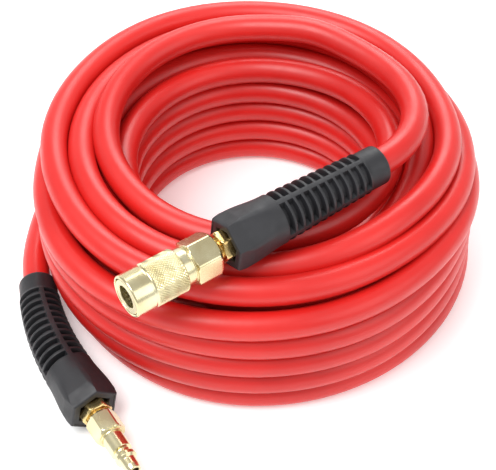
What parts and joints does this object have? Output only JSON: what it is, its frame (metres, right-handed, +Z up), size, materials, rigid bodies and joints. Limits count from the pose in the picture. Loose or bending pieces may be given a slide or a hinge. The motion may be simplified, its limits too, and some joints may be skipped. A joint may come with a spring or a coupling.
{
  "type": "coiled air hose",
  "caption": "Red compressed-air hose wound in a flat ring coil, with a quick coupler on one end, a quick plug on the other and ribbed bend restrictors behind both.",
  "frame": {"origin": "middle of the floor area that the coil, its coupler and its plug take up, at floor level", "axes": "+Z up through the coil, along its short side; -X the way the coupler's mouth opens; the plug's tip points within 4 degrees of -Y"},
  "size_m": [0.2969, 0.2667, 0.1216],
  "materials": {
    "hose": "smooth satin hose cover",
    "restrictor": "matte moulded",
    "brass": "bright turned",
    "fitting": "bright turned, with a darker thread",
    "steel": "plain",
    "seal": "smooth"
  },
  "bodies": {
    "hose_and_fittings": {"bend_restrictor_coupler_end": "restrictor", "bend_restrictor_plug_end": "restrictor", "coupler_body": "brass", "coupler_socket": "brass", "crimp_ferrule_coupler_end": "steel", "crimp_ferrule_plug_end": "steel", "hose_coil": "hose", "hose_fitting_coupler_end": "fitting", "hose_fitting_plug_end": "fitting", "hose_tail_coupler_end": "hose", "hose_tail_plug_end": "hose", "plug_seal_ring": "seal", "quick_plug": "brass", "sleeve_retaining_ring": "steel", "sleeve_spring": "steel", "valve_guide": "brass", "valve_spring": "steel"},
    "sleeve": {"coupler_sleeve": "brass"},
    "poppet": {"valve_poppet": "brass", "valve_seal_ring": "seal"},
    "ball_1": {"locking_ball_1": "steel"},
    "ball_2": {"locking_ball_2": "steel"},
    "ball_3": {"locking_ball_3": "steel"},
    "ball_4": {"locking_ball_4": "steel"},
    "ball_5": {"locking_ball_5": "steel"},
    "ball_6": {"locking_ball_6": "steel"}
  },
  "joints": [
    {"name": "sleeve_slide", "type": "slide", "parent": "hose_and_fittings", "child": "sleeve", "axis": [1, 0, 0], "range_m": [0, 0.005], "stiffness_N_per_m": 2000, "springref_m": -0.006, "deforming": ["sleeve_spring"]},
    {"name": "valve_slide", "type": "slide", "parent": "hose_and_fittings", "child": "poppet", "axis": [1, 0, 0], "range_m": [0, 0.004], "stiffness_N_per_m": 1500, "springref_m": -0.004, "deforming": ["valve_spring"]},
    {"name": "ball_1_slide", "type": "slide", "parent": "hose_and_fittings", "child": "ball_1", "axis": [0, 0, 1], "range_m": [0, 0.0012]},
    {"name": "ball_2_slide", "type": "slide", "parent": "hose_and_fittings", "child": "ball_2", "axis": [0, -0.866, 0.5], "range_m": [0, 0.0012]},
    {"name": "ball_3_slide", "type": "slide", "parent": "hose_and_fittings", "child": "ball_3", "axis": [0, -0.866, -0.5], "range_m": [0, 0.0012]},
    {"name": "ball_4_slide", "type": "slide", "parent": "hose_and_fittings", "child": "ball_4", "axis": [0, 0, -1], "range_m": [0, 0.0012]},
    {"name": "ball_5_slide", "type": "slide", "parent": "hose_and_fittings", "child": "ball_5", "axis": [0, 0.866, -0.5], "range_m": [0, 0.0012]},
    {"name": "ball_6_slide", "type": "slide", "parent": "hose_and_fittings", "child": "ball_6", "axis": [0, 0.866, 0.5], "range_m": [0, 0.0012]}
  ],
  "couplings": [
    {"joint": "ball_1_slide", "follows": "sleeve_slide", "ratio": 0.24},
    {"joint": "ball_2_slide", "follows": "sleeve_slide", "ratio": 0.24},
    {"joint": "ball_3_slide", "follows": "sleeve_slide", "ratio": 0.24},
    {"joint": "ball_4_slide", "follows": "sleeve_slide", "ratio": 0.24},
    {"joint": "ball_5_slide", "follows": "sleeve_slide", "ratio": 0.24},
    {"joint": "ball_6_slide", "follows": "sleeve_slide", "ratio": 0.24}
  ]
}
